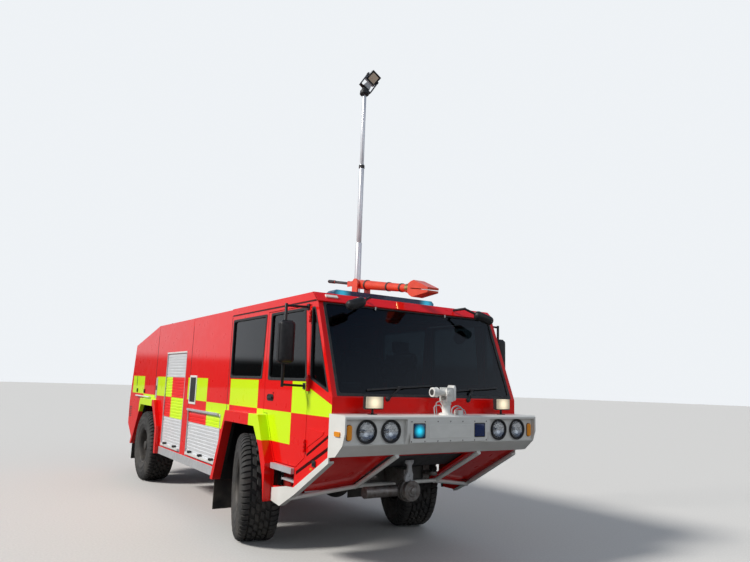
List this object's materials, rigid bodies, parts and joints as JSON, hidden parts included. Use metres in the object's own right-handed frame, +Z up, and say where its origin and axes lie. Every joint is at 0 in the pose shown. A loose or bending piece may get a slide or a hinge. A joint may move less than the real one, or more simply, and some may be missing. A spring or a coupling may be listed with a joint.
{
  "type": "airport fire truck",
  "caption": "Two-axle airport fire truck with a forward cab, swing doors, steered front wheels, roof and bumper water monitors and a telescopic lighting mast.",
  "frame": {"origin": "on the ground, midway along and across the vehicle's bounding box", "axes": "+X forward, +Y to the vehicle's left, +Z up"},
  "size_m": [8.35, 3.04, 6.7686],
  "materials": {
    "fire_red": "gloss",
    "off_white": "satin",
    "orange_paint": "satin",
    "chassis_black": "satin",
    "bare_steel": "rough",
    "aluminium_slats": "satin",
    "mast_grey": "satin",
    "black_plastic": "matte",
    "cab_trim": "matte",
    "seat_cloth": "woven",
    "tinted_glass": "polished",
    "blue_lens": "gloss",
    "lamp_parts": "gloss",
    "rim_black": "satin",
    "tyre_rubber": "matte",
    "black_rubber": "matte"
  },
  "bodies": {
    "chassis": {"chassis_frame": "chassis_black", "tow_eyes": "bare_steel", "engine_block": "bare_steel", "axles": "chassis_black", "driveline": "bare_steel", "cab_shell": "fire_red", "cab_floor": "cab_trim", "cab_seats": "seat_cloth", "dashboard": "cab_trim", "cab_glass": "tinted_glass", "mid_body": "fire_red", "rear_body": "fire_red", "roller_shutters": "aluminium_slats", "side_skirts": "aluminium_slats", "wheel_arches": "fire_red", "mudflaps": "black_rubber", "bumper": "off_white", "nose_frame": "off_white", "lamps": "lamp_parts", "light_bar": "blue_lens", "nose_winch": "bare_steel", "roof_monitor_base": "orange_paint", "mast_tube": "mast_grey", "front_mirrors": "black_plastic"},
    "steer_right": {"knuckle_right": "chassis_black"},
    "steer_left": {"knuckle_left": "chassis_black"},
    "wheel_front_right": {"rim_front_right": "rim_black", "tyre_front_right": "tyre_rubber"},
    "wheel_front_left": {"rim_front_left": "rim_black", "tyre_front_left": "tyre_rubber"},
    "wheel_rear_right": {"rim_rear_right": "rim_black", "tyre_rear_right": "tyre_rubber"},
    "wheel_rear_left": {"rim_rear_left": "rim_black", "tyre_rear_left": "tyre_rubber"},
    "cab_door_right": {"door_right": "fire_red", "door_glass_right": "tinted_glass", "door_mirror_right": "black_plastic"},
    "cab_door_left": {"door_left": "fire_red", "door_glass_left": "tinted_glass", "door_mirror_left": "black_plastic"},
    "roof_monitor_turret": {"roof_monitor_yoke": "orange_paint"},
    "roof_monitor_gun": {"roof_monitor_barrel": "orange_paint"},
    "bumper_monitor_turret": {"bumper_monitor_body": "off_white"},
    "bumper_monitor_gun": {"bumper_monitor_nozzle": "off_white"},
    "mast_lower": {"mast_stage_1": "mast_grey"},
    "mast_middle": {"mast_stage_2": "mast_grey"},
    "mast_upper": {"mast_stage_3": "mast_grey"},
    "mast_swivel": {"mast_head": "black_plastic"},
    "mast_lamp": {"floodlight": "black_plastic"}
  },
  "joints": [
    {"name": "steer_right", "type": "hinge", "parent": "chassis", "child": "steer_right", "pos_m": [2.01, -0.8, 0.5875], "axis": [0, 0, 1], "range_deg": [-16, 48]},
    {"name": "steer_left", "type": "hinge", "parent": "chassis", "child": "steer_left", "pos_m": [2.01, 0.8, 0.5875], "axis": [0, 0, 1], "range_deg": [-16, 48]},
    {"name": "spin_front_right", "type": "hinge", "parent": "steer_right", "child": "wheel_front_right", "pos_m": [1.94109, -1.04032, 0.5875], "axis": [0.2756, 0.9613, 0], "continuous": true},
    {"name": "spin_front_left", "type": "hinge", "parent": "steer_left", "child": "wheel_front_left", "pos_m": [2.07891, 1.04032, 0.5875], "axis": [0.2756, 0.9613, 0], "continuous": true},
    {"name": "spin_rear_right", "type": "hinge", "parent": "chassis", "child": "wheel_rear_right", "pos_m": [-2.72, -1, 0.5875], "axis": [0, 1, 0], "continuous": true},
    {"name": "spin_rear_left", "type": "hinge", "parent": "chassis", "child": "wheel_rear_left", "pos_m": [-2.72, 1, 0.5875], "axis": [0, 1, 0], "continuous": true},
    {"name": "cab_door_right_hinge", "type": "hinge", "parent": "chassis", "child": "cab_door_right", "pos_m": [3.4, -1.192, 1.76], "axis": [0, 0, 1], "range_deg": [0, 70]},
    {"name": "cab_door_left_hinge", "type": "hinge", "parent": "chassis", "child": "cab_door_left", "pos_m": [3.4, 1.192, 1.76], "axis": [0, 0, -1], "range_deg": [0, 70]},
    {"name": "roof_monitor_pan", "type": "hinge", "parent": "chassis", "child": "roof_monitor_turret", "pos_m": [2.435, 0, 2.8], "axis": [0, 0, 1], "range_deg": [-110, 110]},
    {"name": "roof_monitor_tilt", "type": "hinge", "parent": "roof_monitor_turret", "child": "roof_monitor_gun", "pos_m": [2.435, 0, 3.01], "axis": [0, -1, 0], "range_deg": [0, 70]},
    {"name": "bumper_monitor_pan", "type": "hinge", "parent": "chassis", "child": "bumper_monitor_turret", "pos_m": [4.06, 0.035, 1.62], "axis": [0, 0, 1], "range_deg": [-10, 190]},
    {"name": "bumper_monitor_tilt", "type": "hinge", "parent": "bumper_monitor_turret", "child": "bumper_monitor_gun", "pos_m": [4.06, 0.035, 1.73], "axis": [-1, 0, 0], "range_deg": [-20, 60]},
    {"name": "mast_extend_lower", "type": "slide", "parent": "chassis", "child": "mast_lower", "axis": [0, 0, 1], "range_m": [-1.18, 0]},
    {"name": "mast_extend_middle", "type": "slide", "parent": "mast_lower", "child": "mast_middle", "axis": [0, 0, 1], "range_m": [-1.18, 0]},
    {"name": "mast_extend_upper", "type": "slide", "parent": "mast_middle", "child": "mast_upper", "axis": [0, 0, 1], "range_m": [-1.06, 0]},
    {"name": "mast_lamp_pan", "type": "hinge", "parent": "mast_upper", "child": "mast_swivel", "pos_m": [1.06, 0.79, 6.32], "axis": [0, 0, 1], "range_deg": [-175, 175]},
    {"name": "mast_lamp_tilt", "type": "hinge", "parent": "mast_swivel", "child": "mast_lamp", "pos_m": [1.06, 0.93308, 6.63897], "axis": [0, -0.848, 0.5299], "range_deg": [-60, 90]}
  ],
  "couplings": [
    {"joint": "steer_left", "follows": "steer_right", "ratio": 1}
  ]
}
